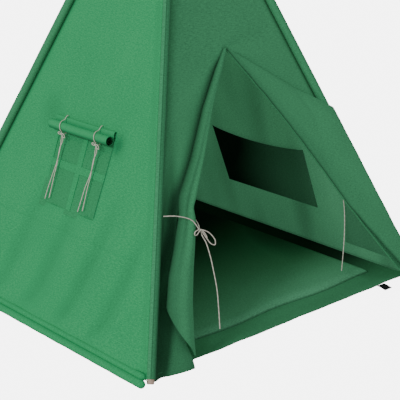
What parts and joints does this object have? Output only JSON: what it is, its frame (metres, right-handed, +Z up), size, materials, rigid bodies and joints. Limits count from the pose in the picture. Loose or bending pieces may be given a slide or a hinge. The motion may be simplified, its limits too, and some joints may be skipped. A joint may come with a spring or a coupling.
{
  "type": "four-pole teepee play tent",
  "caption": "Canvas play tent on crossed wooden poles, with tied-back door flaps, a rolled-up window flap, a padded floor and an inner pocket.",
  "frame": {"origin": "centre of the base, on the ground", "axes": "+Z up, the door faces -Y, +X to the right of the door as seen from outside"},
  "size_m": [1.2816, 1.214, 1.7594],
  "materials": {
    "canvas": "matte plain-weave cotton",
    "lining": "matte dark cotton",
    "net": "fine net",
    "floor": "matte cotton",
    "mat": "matte padded cotton",
    "cord": "twisted undyed cotton",
    "tag": "woven satin",
    "wood": "sanded pine",
    "metal": "drawn tube"
  },
  "bodies": {
    "front_frame": {"door_flap_left": "canvas", "door_tie_left": "cord", "door_tie_right": "cord", "ferrule_front_left": "metal", "ferrule_front_right": "metal", "floor_mat": "mat", "floor_sheet": "floor", "front_wall": "canvas", "hem_roll_left": "canvas", "hem_roll_right": "canvas", "hem_tube_left": "canvas", "hem_tube_right": "canvas", "inner_corner_patch": "lining", "inner_pocket": "lining", "lashing_cord": "cord", "pole_front_left_lower": "wood", "pole_front_left_upper": "wood", "pole_front_right_lower": "wood", "pole_front_right_upper": "wood", "side_tag": "tag", "side_wall_left": "canvas", "side_wall_right": "canvas", "sleeve_front_left": "canvas", "sleeve_front_right": "canvas", "top_hem_front": "canvas", "top_hem_left": "canvas", "top_hem_right": "canvas", "window_cross_bars": "canvas", "window_flap_head": "canvas", "window_flap_roll": "canvas", "window_net": "net", "window_tie_back": "cord", "window_tie_front": "cord"},
    "back_frame": {"ferrule_back_left": "metal", "ferrule_back_right": "metal", "pole_back_left_lower": "wood", "pole_back_left_upper": "wood", "pole_back_right_lower": "wood", "pole_back_right_upper": "wood", "sleeve_back_left": "canvas", "sleeve_back_right": "canvas", "back_wall": "canvas", "top_hem_back": "canvas"},
    "door_flap": {"door_flap_right": "canvas"},
    "door_flap_tip": {"door_flap_right_tip": "canvas"}
  },
  "joints": [
    {"name": "frame_fold", "type": "hinge", "parent": "front_frame", "child": "back_frame", "pos_m": [0, 0, 1.566], "axis": [-1, 0, 0], "range_deg": [0, 32], "deforming": ["side_wall_left", "side_wall_right", "top_hem_left", "top_hem_right", "hem_tube_left", "hem_tube_right", "hem_roll_left", "hem_roll_right", "floor_sheet", "floor_mat", "window_net", "window_cross_bars", "window_flap_roll", "window_flap_head", "window_tie_back", "window_tie_front", "inner_pocket", "inner_corner_patch"]},
    {"name": "door_flap_fold", "type": "hinge", "parent": "front_frame", "child": "door_flap", "pos_m": [-0.017, -0.27727, 0.84971], "axis": [0.5373, -0.3012, -0.7878], "range_deg": [0, 180]},
    {"name": "door_flap_wrap", "type": "hinge", "parent": "door_flap", "child": "door_flap_tip", "pos_m": [0.38903, -0.382, 0.6], "axis": [0.3289, -0.3448, -0.8792], "range_deg": [0, 83]}
  ],
  "couplings": [
    {"joint": "door_flap_wrap", "follows": "door_flap_fold", "ratio": 0.459}
  ]
}
